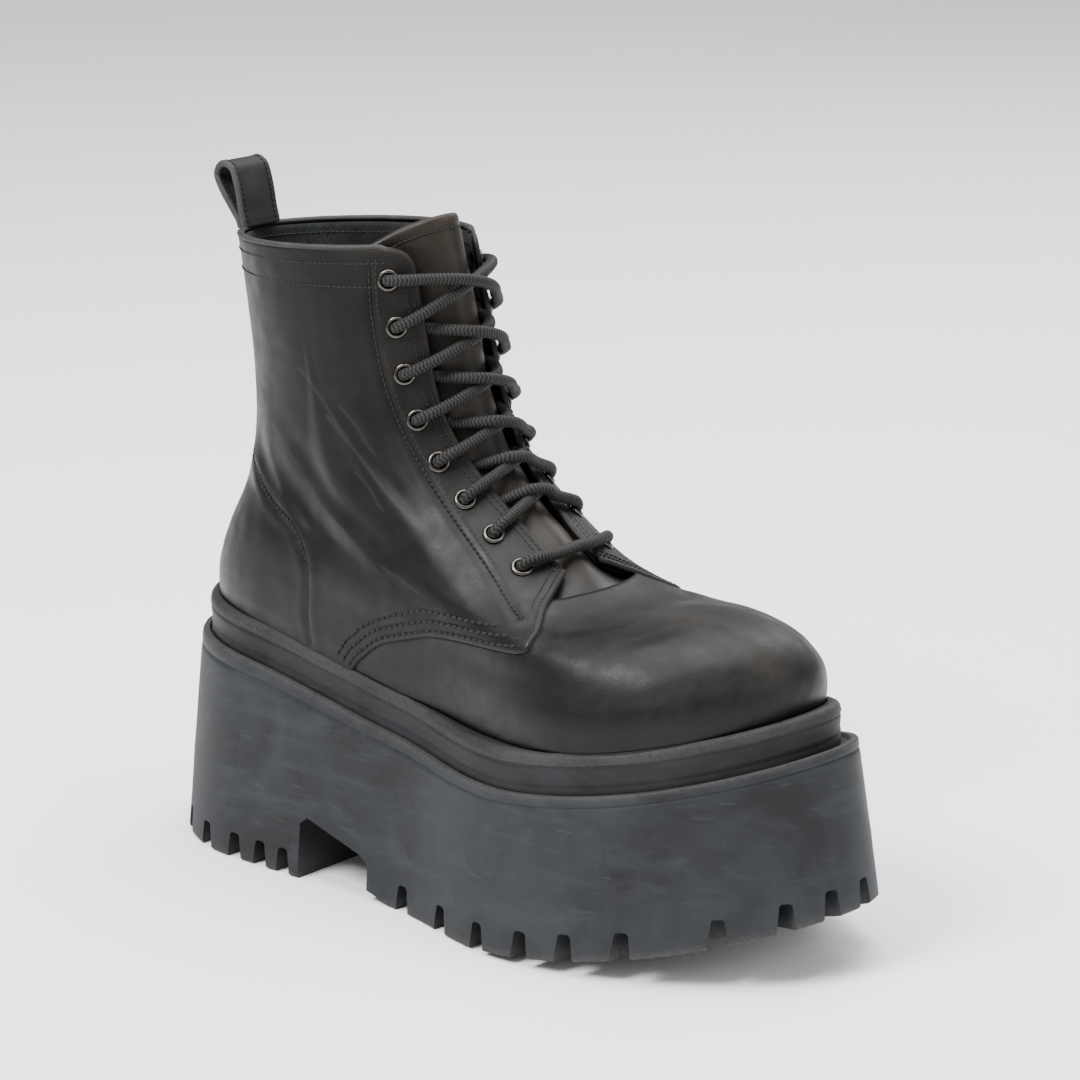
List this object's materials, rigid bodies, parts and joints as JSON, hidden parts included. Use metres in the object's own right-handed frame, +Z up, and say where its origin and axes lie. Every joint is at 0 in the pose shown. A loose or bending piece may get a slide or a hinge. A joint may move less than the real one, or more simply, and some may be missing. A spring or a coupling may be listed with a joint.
{
  "type": "platform boot",
  "caption": "Laced leather ankle boot on a thick lugged platform sole, with a tongue, eyelets and a pull loop at the back of the collar.",
  "frame": {"origin": "bottom centre of the whole boot's box, on the surface that it stands on", "axes": "+X towards the toe, +Y towards the wearer's left, the inner side of this right boot, +Z up"},
  "size_m": [0.291, 0.117, 0.244],
  "materials": {
    "rubber": "matte moulded rubber, cloudy and lightly scuffed",
    "leather": "waxed black leather with rubbed brown highlights",
    "lining": "dark suede lining and sock",
    "lace": "round herringbone braid",
    "metal": "blackened metal, rubbed bright at the rims"
  },
  "bodies": {
    "root": {"outsole": "rubber", "welt": "rubber", "insole": "lining", "upper": "leather", "tongue": "leather", "pull_loop": "leather", "eyelet_lateral_1": "metal", "eyelet_medial_1": "metal", "eyelet_lateral_2": "metal", "eyelet_medial_2": "metal", "eyelet_lateral_3": "metal", "eyelet_medial_3": "metal", "eyelet_lateral_4": "metal", "eyelet_medial_4": "metal", "eyelet_lateral_5": "metal", "eyelet_medial_5": "metal", "eyelet_lateral_6": "metal", "eyelet_medial_6": "metal", "eyelet_lateral_7": "metal", "eyelet_medial_7": "metal", "eyelet_lateral_8": "metal", "eyelet_medial_8": "metal", "lace_bar": "lace", "lace_crossing_7": "lace", "lace_crossing_6": "lace", "lace_crossing_5": "lace", "lace_crossing_4": "lace", "lace_crossing_3": "lace", "lace_crossing_2": "lace"}
  },
  "joints": []
}
